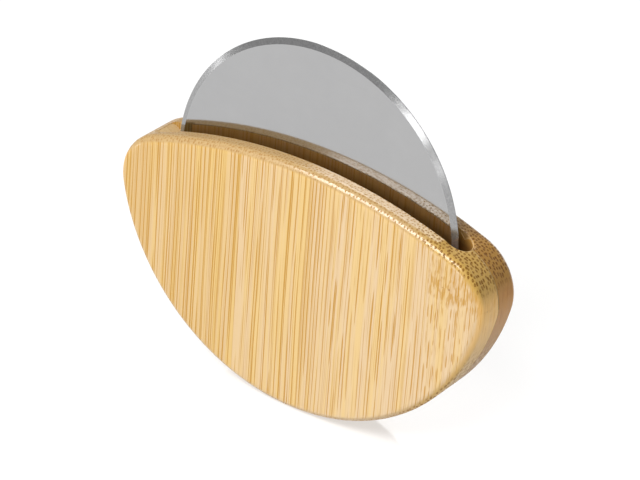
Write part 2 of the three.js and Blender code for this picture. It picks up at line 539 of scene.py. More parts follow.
@dataclass(frozen=True)
class Bamboo:
    """Sanded and oiled bamboo board, glued up from strips, with its fibres along Z.

    Lengths are in millimetres. Fibre bundles show as streaks along the faces and as dots on the end grain.
    """

    name: str
    pocket: PocketPlace
    seed: float
    tint: Colour = (1.0, 1.0, 1.0)
    seasoned: Colour = (1.0, 1.0, 1.0)
    strip_line: float = 39.6
    strip_width: float = 28.3
    joint_width: float = 0.2
    knuckle_low: float = 49.0
    knuckle_high: float = 58.0
    streak_pitch: float = 1.1
    thread_pitch: float = 0.5
    dot_pitch: float = 0.9
    speck_pitch: float = 0.5
    pit_pitch: float = 3.0
    lean: float = 0.011
    lip_depth: float = 0.4
    cut_depth: float = 7.0
    relief_depth: float = 0.05 * MM
    cream: Colour = (0.553, 0.395, 0.22)
    straw: Colour = (0.585, 0.395, 0.129)
    gold: Colour = (0.388, 0.186, 0.0)
    pith: Colour = (0.46, 0.305, 0.128)
    honey: Colour = (0.5, 0.305, 0.07)
    pore: Colour = (0.17, 0.065, 0.0)
    rust: Colour = (0.26, 0.11, 0.008)
    strip_joint: Colour = (0.38, 0.19, 0.023)
    # Factor of painted light and shade on the faces that face along X.
    flank: Colour = (1.36, 1.17, 0.72)
    # Factor of painted light on the pocket's walls near their top.
    milled: Colour = (2.1, 1.66, 1.4)
    # Factor on the pocket's walls deeper down, darker than near the top: painted shade.
    shaded: Colour = (1.3, 0.97, 0.64)
    # Painted light on the cut end grain of the slot's mouth, its drilled end and its sloping cut.
    fresh: Colour = (0.62, 0.44, 0.22)

    def _fibres(self, paint: Paint) -> Fibres:
        """Bends the board's place into the run of its fibres.

        Args:
            paint: The material's nodes.

        Returns:
            The place among the strips and fibres.
        """
        x, y, z = paint.place()
        steps = (x - self.strip_line) / self.strip_width
        strip = steps.floor()
        edge = 0.5 - self.joint_width / self.strip_width
        joint = paint.step(abs(steps - strip - 0.5), edge, 0.5)
        wander = paint.noise(x / 16.0, y / 16.0, z / 90.0 + self.seed) - 0.5
        tangle = paint.noise(x / 1.6, y / 1.6, z / 9.0 + self.seed) - 0.5
        height = z + tangle * 6.0
        knuckle = strip.greater(-0.5) * paint.step(height, self.knuckle_low - 0.6, self.knuckle_low + 0.6)
        knuckle = knuckle * paint.step(height, self.knuckle_high + 3.0, self.knuckle_high - 4.0)
        grain_x = x + wander * 1.2 + knuckle * tangle * 0.7 - z * self.lean
        grain_y = y + wander * 1.5 + strip * 3.1
        return Fibres(paint, grain_x, grain_y, z, grain_x + grain_y * 0.8, strip, joint, knuckle)

    def _streaks(self, fibres: Fibres) -> Wire:
        """Golden streaks along the fibres, in tapered lengths that are longer towards the left.

        Args:
            fibres: The place among the fibres.

        Returns:
            How far the colour goes from cream to gold.
        """
        paint = fibres.paint
        rows = paint.cells(Scatter.LINES, fibres.across / self.streak_pitch, 0.8)
        luck = paint.luck(rows)
        length = 6.0 - fibres.strip * 14.0
        run = paint.noise(luck.out("Blue") * 60.0, fibres.z / length, self.seed)
        right = paint.ramp(fibres.strip, -2.5, 0.0)
        body = paint.step(run, 0.3 + right * 0.14, 0.52 + right * 0.08)
        width = (luck * 0.07 + 0.12) * body
        row = paint.step(rows, width + 0.05, width - 0.06) * paint.step(body, 0.05, 0.4)
        row = row * (luck.out("Green") * 0.85 + 0.6 - right * 0.12)
        threads = paint.cells(Scatter.LINES, fibres.across / self.thread_pitch + self.seed, 0.9)
        thread = paint.step(threads, 0.36, 0.1) * paint.luck(threads)
        fade = paint.noise(fibres.across / 0.8, fibres.z / length, self.seed)
        thread = thread * paint.step(fade, 0.35, 0.6)
        fibre = paint.noise(fibres.across / 0.18, fibres.z / 16.0, self.seed, 2.0, 0.6)
        burr = paint.noise(fibres.across / 0.55, fibres.z / 2.6, self.seed)
        burr = fibres.knuckle * (0.12 + paint.step(burr, 0.46, 0.6) * 0.55)
        return row + thread * 0.8 + (fibre - 0.5) * 0.6 + burr

    def _lengthwise(self, fibres: Fibres, streak: Wire) -> Wire:
        """Colour of the faces along the fibres.

        Args:
            fibres: The place among the fibres.
            streak: Strength of the streaks.

        Returns:
            The colour.
        """
        paint = fibres.paint
        left = paint.ramp(fibres.strip, -1.0, -4.0)
        tone = paint.noise(fibres.across / 2.5, fibres.z / 120.0, self.seed, 2.0, 0.6)
        warm = paint.step(tone, 0.4, 0.62) * 0.7 + left * 0.4
        colour = paint.mix(warm, self.cream, self.straw)
        colour = paint.mix(left * left * 0.3, colour, self.gold)
        colour = paint.mix(streak, colour, self.gold)
        pitch = self.pit_pitch
        where = paint.vector(fibres.x / pitch, fibres.z / pitch, fibres.y / pitch + self.seed)
        pits = paint.step(paint.cells(Scatter.PITS, where), 0.15, 0.07)
        return paint.mix(pits * fibres.knuckle * 0.8, colour, self.rust)

    def _bundles(self, fibres: Fibres, ripe: Wire) -> Wire:
        """Dots of the fibre bundles on the end grain, larger and ringed where the cane was ripe.

        Args:
            fibres: The place among the fibres.
            ripe: 0 in young wood and 1 in ripe wood.

        Returns:
            How dark the bundle is.
        """
        paint = fibres.paint
        where = paint.vector(fibres.x / self.dot_pitch, fibres.y / self.dot_pitch)
        dots = paint.cells(Scatter.DOTS, where, 0.62)
        luck = paint.luck(dots)
        size = 0.19 + ripe * 0.07 + luck * 0.09
        dot = paint.step(dots, size + 0.09, size - 0.07)
        core = paint.step(dots, size * 0.6, size * 0.15) * luck.out("Green")
        return dot * (1.0 - core * ripe * 0.9)

    def _crosswise(self, fibres: Fibres, ripe: Wire, dot: Wire) -> Wire:
        """Colour of the end grain.

        Args:
            fibres: The place among the fibres.
            ripe: 0 in young wood and 1 in ripe wood.
            dot: Strength of the fibre bundles.

        Returns:
            The colour.
        """
        paint = fibres.paint
        where = paint.vector(fibres.x / self.speck_pitch, fibres.y / self.speck_pitch)
        speck = paint.step(paint.cells(Scatter.DOTS, where, 0.9), 0.42, 0.14)
        sand = paint.noise(fibres.x / 0.35, fibres.y / 0.6, self.seed, 2.0, 0.7)
        colour = paint.mix(ripe, self.pith, self.honey)
        colour = paint.mix(paint.step(sand, 0.5, 0.72) * 0.35, colour, self.rust)
        colour = paint.mix(speck * (0.3 - ripe * 0.15), colour, self.rust)
        return paint.mix(dot * (0.55 + ripe * 0.4), colour, paint.mix(ripe, self.rust, self.pore))

    def _milled(self, paint: Paint, end_grain: Wire) -> tuple[Wire, Wire, Wire]:
        """Finds the cut surfaces of the wheel's pocket and of its mouth, and the painted light and shade of
        the pocket's walls.

        Args:
            paint: The material's nodes.
            end_grain: 1 on end grain and 0 along the fibres.

        Returns:
            1 on the pocket's upright walls, a factor of painted light near their top that turns to painted
            shade with the depth, and 1 on cut end grain.
        """
        pocket = self.pocket
        x, y, z = paint.place(pocket.centre)
        radius = x.hypot(z)
        inside = paint.step(radius, pocket.radius + 0.4, pocket.radius + 0.05)
        inside = inside * paint.step(abs(y), pocket.half_width + 0.06, pocket.half_width + 0.01)
        x, y, z = paint.place(pocket.crown_centre)
        depth = pocket.crown_radius - x.hypot(z)
        # Painted light on the pocket's walls near the top, turning to painted shade with the depth below the
        # crown.
        shade = paint.mix(paint.ramp(depth, 0.6, 3.4), self.milled, self.shaded)
        sunk = paint.step(depth, self.lip_depth - 0.3, self.lip_depth)
        sunk = sunk * paint.step(depth, self.cut_depth + 1.0, self.cut_depth)
        sunk = sunk * paint.step(abs(y), pocket.mouth_half_width + 0.3, pocket.mouth_half_width + 0.1)
        sunk = sunk * paint.step(abs(x), pocket.mouth_half_length + 0.4, pocket.mouth_half_length + 0.2)
        return inside * (1.0 - end_grain), shade, sunk * end_grain

    def material(self) -> Material:
        """Writes the nodes of the board.

        Returns:
            The material.
        """
        paint = Paint(self.name)
        fibres = self._fibres(paint)
        ripe = paint.step(fibres.x, self.strip_line - 10.0, self.strip_line + 3.0)
        sideways, upright = paint.facing()
        end_grain = paint.step(upright, 0.15, 0.5)
        side_on = paint.step(sideways, 0.3, 0.9)
        blunt = paint.step(sideways, 0.2, 0.6)
        inside, wall, sunk = self._milled(paint, end_grain)

        streak = self._streaks(fibres) * (1.0 - side_on * 0.65)
        dot = self._bundles(fibres, ripe) * paint.step(upright, 0.22, 0.6)
        lengthwise = paint.mix(inside * 0.5, self._lengthwise(fibres, streak), self.straw)
        # Painted light and shade on the faces that face along X, by how squarely they face it.
        lengthwise = paint.multiply(side_on * (1.0 - inside), lengthwise, self.flank)
        colour = paint.mix(end_grain, lengthwise, self._crosswise(fibres, ripe, dot))
        colour = paint.mix(fibres.joint * 0.4, colour, self.strip_joint)
        colour = paint.multiply(1.0, colour, self.tint)
        # Colour factor towards the right end of the board, darker and browner on the rear half.
        colour = paint.multiply(ripe, colour, self.seasoned)
        # Painted light and shade on the pocket's walls.
        colour = paint.multiply(inside, colour, wall)
        # Painted light: a paler colour on the cut end grain at the slot's mouth, its drilled end and its
        # sloping cut.
        colour = paint.mix(sunk * 0.7, colour, self.fresh)

        oil = 0.75 * (1.0 - end_grain * (0.05 + dot * 0.85))
        return paint.finish(
            {
                "Specular IOR Level": 0.3,
                "Coat Roughness": 0.15,
                "Coat IOR": 1.6,
                "Base Color": colour,
                "Roughness": 0.48 + streak * 0.1 - end_grain * 0.1 * (1.0 - dot * 4.0) + inside * 0.3,
                "Coat Weight": oil * (1.0 - blunt * 0.75) * (1.0 - inside),
                "Normal": paint.bump(1.0 - dot * end_grain - streak * 0.4, self.relief_depth, 0.6),
            }
        )


@dataclass(frozen=True)
class BladeSteel:
    """Stainless sheet, polished on its faces and ground crosswise on its duller, darker bevel."""

    name: str
    axle: Vector
    bevel_start: float
    grey: Colour = (0.41, 0.41, 0.412)
    scratch_depth: float = 0.002 * MM

    def material(self) -> Material:
        """Writes the nodes of the blade.

        Returns:
            The material.
        """
        paint = Paint(self.name)
        x, y, z = paint.place(self.axle)
        radius = x.hypot(z)
        turn = z.atan2(x)
        bevel = paint.step(radius, self.bevel_start / MM - 0.03, self.bevel_start / MM + 0.03)
        cloud = paint.noise(x / 14.0, y, z / 14.0, 3.0, 0.6)
        brush = paint.noise(x / 22.0, y, z / 0.16, 2.0, 0.6)
        stroke = paint.noise(turn * 150.0, radius / 0.5, y, 2.0, 0.7)
        smudge = paint.noise(x / 4.0, y, z / 3.0, 4.0, 0.7)
        rub = brush * (1.0 - bevel) + stroke * bevel
        level = 0.97 - bevel * 0.22 + (cloud - 0.5) * 0.06 + (smudge - 0.5) * 0.05
        level = level + (rub - 0.5) * (0.03 + bevel * 0.6)
        return paint.finish(
            {
                "Base Color": paint.lit(self.grey, level),
                "Metallic": 1.0 - bevel * 0.2,
                "Roughness": 0.09 + (cloud - 0.5) * 0.04 + bevel * (0.04 + stroke * 0.08),
                "Normal": paint.bump(rub, self.scratch_depth, 0.25),
            }
        )


@dataclass(frozen=True)
class TurnedSteel:
    """Bar or sheet steel with fine marks of the tool round its axis."""

    name: str
    axle: Vector
    grey: Colour = (0.5, 0.51, 0.52)
    mark_pitch: float = 0.06
    mark_depth: float = 0.004 * MM

    def material(self) -> Material:
        """Writes the nodes of the steel.

        Returns:
            The material.
        """
        paint = Paint(self.name)
        x, y, z = paint.place(self.axle)
        radius = x.hypot(z)
        marks = paint.noise(radius / self.mark_pitch, y / self.mark_pitch, z.atan2(x) * 0.8, 2.0, 0.6)
        cloud = paint.noise(x / 3.0, y / 3.0, z / 3.0, 2.0)
        return paint.finish(
            {
                "Metallic": 1.0,
                "Base Color": paint.lit(self.grey, 0.9 + marks * 0.14 + (cloud - 0.5) * 0.1),
                "Roughness": 0.24 + marks * 0.2,
                "Normal": paint.bump(marks, self.mark_depth, 0.3),
            }
        )


@dataclass(frozen=True)
class Nylon:
    """Natural moulded nylon, slightly uneven."""

    name: str
    tint: Colour = (0.8, 0.76, 0.66)
    shadow: Colour = (0.68, 0.62, 0.5)
    skin_pitch: float = 0.12
    skin_depth: float = 0.01 * MM

    def material(self) -> Material:
        """Writes the nodes of the nylon.

        Returns:
            The material.
        """
        paint = Paint(self.name)
        x, y, z = paint.place()
        cloud = paint.noise(x / 2.5, y / 2.5, z / 2.5, 3.0)
        skin = paint.noise(x / self.skin_pitch, y / self.skin_pitch, z / self.skin_pitch)
        return paint.finish(
            {
                "Specular IOR Level": 0.45,
                "Base Color": paint.mix(paint.step(cloud, 0.35, 0.75) * 0.6, self.tint, self.shadow),
                "Roughness": 0.42 + skin * 0.2,
                "Normal": paint.bump(skin, self.skin_depth, 0.3),
            }
        )


@dataclass(frozen=True)
class DowelWood:
    """Turned hardwood with its grain along the dowel."""

    name: str
    light: Colour = (0.6, 0.41, 0.21)
    dark: Colour = (0.42, 0.25, 0.1)
    fleck_depth: float = 0.02 * MM

    def material(self) -> Material:
        """Writes the nodes of the wood.

        Returns:
            The material.
        """
        paint = Paint(self.name)
        x, y, z = paint.place()
        rings = paint.noise(x / 0.7, y / 12.0, z / 0.7, 2.0)
        fleck = paint.noise(x / 0.12, y / 1.6, z / 0.12)
        grain = paint.step(rings, 0.35, 0.7) * 0.6 + paint.step(fleck, 0.55, 0.75) * 0.4
        return paint.finish(
            {
                "Specular IOR Level": 0.3,
                "Base Color": paint.mix(grain, self.light, self.dark),
                "Roughness": 0.62 + fleck * 0.15,
                "Normal": paint.bump(fleck, self.fleck_depth, 0.4),
            }
        )


@dataclass(frozen=True)
class SeamGlue:
    """Dried wood glue, pale and rather dull."""

    name: str
    pale: Colour = (0.42, 0.28, 0.11)
    amber: Colour = (0.36, 0.23, 0.08)
    run_depth: float = 0.03 * MM

    def material(self) -> Material:
        """Writes the nodes of the glue.

        Returns:
            The material.
        """
        paint = Paint(self.name)
        x, y, z = paint.place()
        run = paint.noise(x / 6.0, y, z / 6.0, 3.0, 0.6)
        return paint.finish(
            {
                "Specular IOR Level": 0.1,
                "Base Color": paint.mix(paint.step(run, 0.35, 0.7), self.pale, self.amber),
                "Roughness": 0.5 + run * 0.25,
                "Normal": paint.bump(run, self.run_depth, 0.4),
            }
        )


@dataclass(frozen=True)
class Piece:
    """A finished object and what the frame has to know about it."""

    object: Object
    body: str
    slot: str
    nodes: tuple[str, ...] = ()

    def register(self) -> None:
        """Hands the piece to the frame and logs it."""
        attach(self.object, self.body)
        if self.nodes:
            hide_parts(*self.nodes)
        log.info("%s rides on %s, %d faces", self.object.name, self.body, len(self.object.data.polygons))


def dress(thing: Object, material: Material) -> Object:
    """Gives an object one material all over.

    Args:
        thing: The object.
        material: Its finish.

    Returns:
        The same object.
    """
    thing.data.materials.clear()
    thing.data.materials.append(material)
    return thing


def direction(azimuth: float, elevation: float) -> Vector:
    """The direction of angles in degrees: the azimuth from the front to the right, and the elevation."""
    turn, rise = math.radians(azimuth), math.radians(elevation)
    return Vector((math.sin(turn) * math.cos(rise), -math.cos(turn) * math.cos(rise), math.sin(rise)))


@dataclass(frozen=True)
class Sweep:
    """One stretch of an outline: a turn about a centre."""

    centre: Vector
    angle: float
    steps: int


@dataclass(frozen=True)
class Outline:
    """Half-moon outline of the body: a round lower edge, a shallow crown and a corner at each end."""

    axle: Vector
    crown_rise: float = 12.6 * MM
    crown_radius: float = 136.0 * MM
    corner_radius: float = 14.0 * MM
    corner_steps: int = 40
    crown_steps: int = 96
    lower_steps: int = 160

    @property
    def lower_radius(self) -> float:
        """Radius of the lower edge, which reaches the floor under the axle."""
        return self.axle.z

    @property
    def crown_drop(self) -> float:
        """How far the crown's centre lies below the axle."""
        return self.crown_radius - self.crown_rise

    @property
    def crown_centre(self) -> Vector:
        """Centre of the crown's arc."""
        return self.axle - Vector((0.0, 0.0, self.crown_drop))

    def crossing(self, crown: float, lower: float) -> tuple[float, float]:
        """X and Z from the axle where circles about the crown's centre and the axle cross at the right.

        Args:
            crown: Radius of the circle about the crown's centre.
            lower: Radius of the circle about the axle.

        Returns:
            The two distances.
        """
        z = (crown**2 - lower**2 - self.crown_drop**2) / (2 * self.crown_drop)
        return math.sqrt(lower**2 - z**2), z

    @property
    def corner_place(self) -> tuple[float, float]:
        """X and Z of the right corner's centre from the axle."""
        return self.crossing(self.crown_radius - self.corner_radius, self.lower_radius - self.corner_radius)

    @property
    def lower_angle(self) -> float:
        """Direction from the axle in which the lower edge ends at the right."""
        x, z = self.corner_place
        return math.atan2(z, x)

    @property
    def crown_angle(self) -> float:
        """Direction from the crown's centre in which the crown ends at the right."""
        x, z = self.corner_place
        return math.atan2(z + self.crown_drop, x)

    def start(self, inset: float, y: float) -> Vector:
        """The point at a place along the axle where the right corner begins, some way inside the outline."""
        reach = self.lower_radius - inset
        return self.axle + Vector((reach * math.cos(self.lower_angle), y, reach * math.sin(self.lower_angle)))

    def sweeps(self) -> list[Sweep]:
        """Divides the outline into its arcs.

        Returns:
            The arcs, anticlockwise from the right corner's start.
        """
        x, z = self.corner_place
        corner = self.crown_angle - self.lower_angle
        return [
            Sweep(self.axle + Vector((x, 0.0, z)), corner, self.corner_steps),
            Sweep(self.crown_centre, math.pi - 2 * self.crown_angle, self.crown_steps),
            Sweep(self.axle + Vector((-x, 0.0, z)), corner, self.corner_steps),
            Sweep(self.axle, math.pi + 2 * self.lower_angle, self.lower_steps),
        ]

    def on_top(self, point: Vector, slack: float) -> bool:
        """Whether a point lies on the surface of the crown or of a corner.

        Args:
            point: The point, in the frame.
            slack: How far off the surface it may be.

        Returns:
            Whether it does.
        """
        x, z = self.corner_place
        offset = point - self.axle
        if abs(offset.x) < self.crown_radius * math.cos(self.crown_angle):
            return abs(math.hypot(offset.x, offset.z + self.crown_drop) - self.crown_radius) < slack
        return offset.z > z and abs(math.hypot(abs(offset.x) - x, offset.z - z) - self.corner_radius) < slack


@dataclass(frozen=True)
class BambooBody:
    """The two glued bamboo halves, with the pocket that the wheel turns in."""

    outline: Outline
    half_thickness: float
    wheel_radius: float
    pin_radius: float
    pin_half_length: float
    dowels: dict[str, Vector]
    dowel_radius: float
    dowel_half_length: float
    slot_width: float = 6.6 * MM
    pocket_clearance: float = 2.5 * MM
    pocket_shift: float = 1.0 * MM
    pocket_steps: int = 288
    rim_steps: int = 16
    flat_normal: float = 0.9999
    drill_radius: float = 3.55 * MM
    drill_tilt: float = math.radians(52.0)
    drill_depth: float = 1.5 * MM
    drill_steps: int = 96
    ramp_start: tuple[float, float] = (-47.0 * MM, 4.2 * MM)
    ramp_length: float = 7.0 * MM
    ramp_slope: float = math.radians(30.0)
    ramp_front: float = 4.2 * MM
    ramp_rear: float = 2.9 * MM
    ramp_round: float = 1.4 * MM
    ramp_round_steps: int = 8
    ramp_crisp: float = 2.0 * MM
    bore_steps: int = 48
    edge_round: float = 2.2 * MM
    edge_steps: int = 10
    face_inset: float = 0.3 * MM
    glue_gap: float = 0.05 * MM
    glue_share: float = 0.9
    glue_depth: float = 2.2 * MM
    glue_sink: float = 0.01 * MM
    seam_chamfer: float = 0.08 * MM
    lip_round: float = 0.3 * MM
    lip_steps: int = 3
    lip_angle: float = math.radians(35.0)
    slack: float = 0.01 * MM
    sharp_degrees: float = 30.0

    @property
    def pocket_centre(self) -> Vector:
        """Centre of the pocket, which lies a little to the right of the axle."""
        return self.outline.axle + Vector((self.pocket_shift, 0.0, 0.0))

    @property
    def pocket_radius(self) -> float:
        """Radius of the pocket, which clears the wheel."""
        return self.wheel_radius + self.pocket_clearance

    def pocket(self) -> Object:
        """Models the wheel's pocket: a disc with a fully rounded rim.

        Returns:
            The shape to cut out.
        """
        round_radius = self.slot_width / 2
        rim = self.pocket_radius - round_radius
        centre = self.pocket_centre
        front = Vector((0.0, -round_radius, 0.0))
        out = Vector((rim, 0.0, 0.0))
        model = Model("pocket_cutter", centre + front, centre + front + out)
        model.arc(centre + out, math.pi, self.rim_steps, Vector((0.0, 0.0, -1.0)))
        model.line(centre - front)
        model.revolve(centre, self.pocket_steps)
        for side in Side:
            model.select(Element.FACE, lambda face: side.value * face.normal.y > self.flat_normal)
            bpy.ops.mesh.dissolve_faces()
        return model.leave()

    def drill(self) -> Object:
        """Models the slanted drill that eases the slot's right end.

        Returns:
            The shape to cut out.
        """
        centre_line = self.pocket_radius + self.pocket_shift - self.slot_width / 2
        x, z = self.outline.crossing(self.outline.crown_radius, centre_line)
        mouth = self.outline.axle + Vector((x, 0.0, z))
        axis = Vector((math.sin(self.drill_tilt), 0.0, math.cos(self.drill_tilt)))
        low = mouth - axis * self.drill_depth
        high = mouth + axis * 2 * self.drill_radius
        aside = AXLE_DIRECTION * self.drill_radius
        model = Model("drill_cutter", low, low + aside, high + aside, high)
        model.revolve(mouth, self.drill_steps, axis)
        return model.leave()

    def ramp(self) -> Object:
        """Models the cut that slopes into the slot at its left end.

        Returns:
            The shape to cut out.
        """
        left, z = self.ramp_start
        right = left + self.ramp_length
        low = z - self.ramp_length * math.tan(self.ramp_slope)
        top = self.outline.crown_rise
        front = self.outline.axle - AXLE_DIRECTION * self.ramp_front
        corners = ((left, z), (right, low), (right, top), (left, top))
        model = Model("ramp_cutter", *(front + Vector((x, 0.0, height)) for x, height in corners))
        model.select_all()
        bpy.ops.mesh.edge_face_add()
        width = self.ramp_front + self.ramp_rear
        bpy.ops.mesh.extrude_region_move(TRANSFORM_OT_translate={"value": (0.0, width, 0.0)})
        model.merge()
        model.face_out()

        def at_rear_corner(edge: Edge) -> bool:
            """Whether an edge of the cut is its upright one at the rear left."""
            return all(vert.co.y > 0.0 and abs(vert.co.x - left) < self.slack for vert in edge.verts)

        model.select(Element.EDGE, at_rear_corner)
        bpy.ops.mesh.bevel(offset=self.ramp_round, segments=self.ramp_round_steps, affect="EDGES")
        return model.leave()

    def bores(self) -> list[Object]:
        """Models the blind holes for the axle pin and the dowels.

        Returns:
            The shapes to cut out.
        """
        seats = [(self.outline.axle, self.pin_radius, self.pin_half_length)]
        seats += [(place, self.dowel_radius, self.dowel_half_length) for place in self.dowels.values()]
        cutters = []
        for index, (place, radius, reach) in enumerate(seats):
            wall = radius + PRESS_FIT
            end = reach + PRESS_FIT
            profile = mirrored(((0.0, -end), (wall, -end)))
            cutters.append(Turned(f"bore_cutter_{index}", place, profile, self.bore_steps).model().leave())
        return cutters

    def half(self, side: Side, cutters: list[Object]) -> Object:
        """Models one half: its edge profile swept round the outline, closed, hollowed and eased.

        Args:
            side: Which half.
            cutters: Shapes to cut out of it.

        Returns:
            The finished half.
        """
        sign = side.value
        face = sign * self.half_thickness
        seam = sign * self.glue_gap
        model = Model(f"bamboo_{side.word}_half", self.outline.start(self.edge_round, face))
        middle = self.outline.start(self.edge_round, face - sign * self.edge_round)
        ray = (self.outline.start(0.0, 0.0) - self.outline.start(1.0, 0.0)).normalized()
        model.arc(middle, math.pi / 2, self.edge_steps, -sign * AXLE_DIRECTION.cross(ray))
        model.line(self.outline.start(0.0, seam + sign * self.seam_chamfer))
        model.line(self.outline.start(self.seam_chamfer, seam))
        self._sweep_round(model)
        model.merge()
        model.cap(face)
        bpy.ops.mesh.inset(thickness=self.face_inset)
        model.cap(seam)
        model.face_out()
        for cutter in cutters:
            model.cut(cutter)
        self._ease_mouth(model, seam)
        return model.smooth(self.sharp_degrees)

    def _sweep_round(self, model: Model) -> None:
        """Sweeps a model's profile once round the outline."""
        model.select_all()
        for sweep in self.outline.sweeps():
            model.spin(sweep.centre, sweep.angle, sweep.steps)

    def _ease_mouth(self, model: Model, seam: float) -> None:
        """Rounds the edges of the slot's mouth, and leaves those of the sloping cut crisp.

        Args:
            model: The half, hollowed.
            seam: Y of its seam face.
        """
        widest = self.ramp_front + self.slack
        leftmost = self.ramp_start[0] + self.ramp_crisp

        def on_lip(point: Vector) -> bool:
            """Whether a point lies on the top of the body, near the slot and clear of the sloping cut."""
            near = abs(point.y) <= widest and point.x >= leftmost
            return near and self.outline.on_top(point, self.slack)

        def on_seam(edge: Edge) -> bool:
            """Whether an edge lies in the seam's face."""
            return all(abs(v.co.y - seam) < self.slack for v in edge.verts)

        def at_mouth(edge: Edge) -> bool:
            """Whether an edge is sharp and runs along the mouth, and not along the seam."""
            sharp = edge.is_manifold and edge.calc_face_angle() >= self.lip_angle
            return sharp and all(on_lip(v.co) for v in edge.verts) and not on_seam(edge)

        count = model.select(Element.EDGE, at_mouth)
        log.info("%s: %d edges round the slot's mouth", model.object.name, count)
        bpy.ops.mesh.bevel(
            offset=self.lip_round, segments=self.lip_steps, affect="EDGES", clamp_overlap=False
        )

    def glue_line(self, cutters: list[Object]) -> Object:
        """Models the film of glue between the halves, which fills the seam's fine groove.

        Args:
            cutters: Shapes of the slot, which the film leaves open.

        Returns:
            The finished film.
        """
        sunk, groove, deep = self.glue_sink, self.seam_chamfer, self.glue_depth
        thin = self.glue_share * self.glue_gap
        wide = thin + groove - sunk
        section = [(sunk, -wide), (sunk, wide), (groove, thin), (deep, thin)]
        section += [(deep, -thin), (groove, -thin), (sunk, -wide)]
        model = Model("seam_glue_line", *(self.outline.start(inset, y) for inset, y in section))
        model.merge()
        self._sweep_round(model)
        model.merge()
        model.face_out()
        for cutter in cutters:
            model.cut(cutter)
        return model.smooth(self.sharp_degrees)

    def boards(self) -> dict[Side, Bamboo]:
        """Chooses the two boards, of which the rear one is darker.

        Returns:
            The finish of each half.
        """
        room = PocketPlace(
            self.pocket_centre,
            radius=self.pocket_radius / MM,
            half_width=self.slot_width / 2 / MM,
            mouth_half_length=-self.ramp_start[0] / MM,
            mouth_half_width=self.ramp_front / MM,
            crown_centre=self.outline.crown_centre,
            crown_radius=self.outline.crown_radius / MM,
        )
        rear = Bamboo(
            "bamboo_rear",
            room,
            seed=11.0,
            tint=(0.92, 0.87, 0.78),
            seasoned=(0.73, 0.62, 0.43),
            # Painted light and shade on the end faces, weaker than on the front half.
            flank=(1.2, 0.97, 0.48),
            honey=(0.54, 0.345, 0.09),
            pore=(0.21, 0.095, 0.01),
            # Painted light and shade on the pocket's walls, darker than on the front half.
            milled=(1.15, 1.05, 0.8),
            shaded=(0.5, 0.4, 0.25),
        )
        return {Side.FRONT: Bamboo("bamboo_front", room, seed=3.0), Side.REAR: rear}

    def build(self) -> list[Piece]:
        """Models and dresses both halves and the glue line.

        Returns:
            The finished pieces.
        """
        slot = [self.pocket(), self.drill(), self.ramp()]
        cutters = [*slot, *self.bores()]
        pieces = []
        for side, board in self.boards().items():
            half = dress(self.half(side, cutters), board.material())
            pieces.append(Piece(half, HANDLE_BODY, "bamboo", (f"{side.word}_half",)))
        glue = dress(self.glue_line(slot), SeamGlue("seam_glue").material())
        pieces.append(Piece(glue, HANDLE_BODY, "bamboo"))
        for cutter in cutters:
            bpy.data.objects.remove(cutter, do_unlink=True)
        return pieces


@dataclass(frozen=True)
class CuttingWheel:
    """The steel wheel with the two nylon hubs pressed into its bore."""

    axle: Vector
    radius: float
    half_thickness: float
    hub_reach: float
    hub_radius: float
    bore_radius: float = 5.0 * MM
    pin_radius: float = 2.5 * MM
    bevel_width: float = 1.5 * MM
    edge_land: float = 0.2 * MM
    rim_steps: int = 288
    sharp_degrees: float = 15.0
    hub_chamfer: float = 0.4 * MM
    running_fit: float = 0.08 * MM

    @property
    def shoulder(self) -> float:
        """Radius at which the bevel starts."""
        return self.radius - self.bevel_width

    def disc(self) -> Object:
        """Models the wheel with a bevel on both faces.

        Returns:
            The finished wheel.
        """
        face = self.half_thickness
        half = ((self.bore_radius, -face), (self.shoulder, -face), (self.radius, -self.edge_land / 2))
        profile = (*mirrored(half), half[0])
        return Turned("steel_cutting_wheel", self.axle, profile, self.rim_steps, self.sharp_degrees).build()

    def hub(self, side: Side) -> Object:
        """Models one flanged bush: a spigot in the wheel's bore and a flange that spaces the wheel.

        Args:
            side: Which side of the wheel it is on.

        Returns:
            The finished hub.
        """
        bore = self.pin_radius + self.running_fit
        spigot = self.bore_radius - PRESS_FIT
        shoulder = self.half_thickness + PRESS_FIT
        flange, end = self.hub_radius, self.hub_reach
        ease = self.hub_chamfer
        profile = ((bore, PRESS_FIT), (spigot - ease / 2, PRESS_FIT), (spigot, PRESS_FIT + ease / 2))
        profile += ((spigot, shoulder), (flange - ease / 2, shoulder), (flange, shoulder + ease / 2))
        profile += ((flange, end - ease), (flange - ease, end), (bore + ease, end), (bore, end - ease))
        profile += ((bore, PRESS_FIT),)
        return Turned(f"nylon_{side.word}_hub", self.axle, side.place(profile)).build()

    def build(self) -> list[Piece]:
        """Models and dresses the wheel and its hubs.

        Returns:
            The finished pieces.
        """
        disc = dress(self.disc(), BladeSteel("blade_steel", self.axle, self.shoulder).material())
        pieces = [Piece(disc, WHEEL_BODY, "blade_steel", ("cutting_wheel",))]
        nylon = Nylon("hub_nylon").material()
        for side in Side:
            hub = dress(self.hub(side), nylon)
            pieces.append(Piece(hub, WHEEL_BODY, "hub_nylon", (f"{side.word}_hub",)))
        return pieces


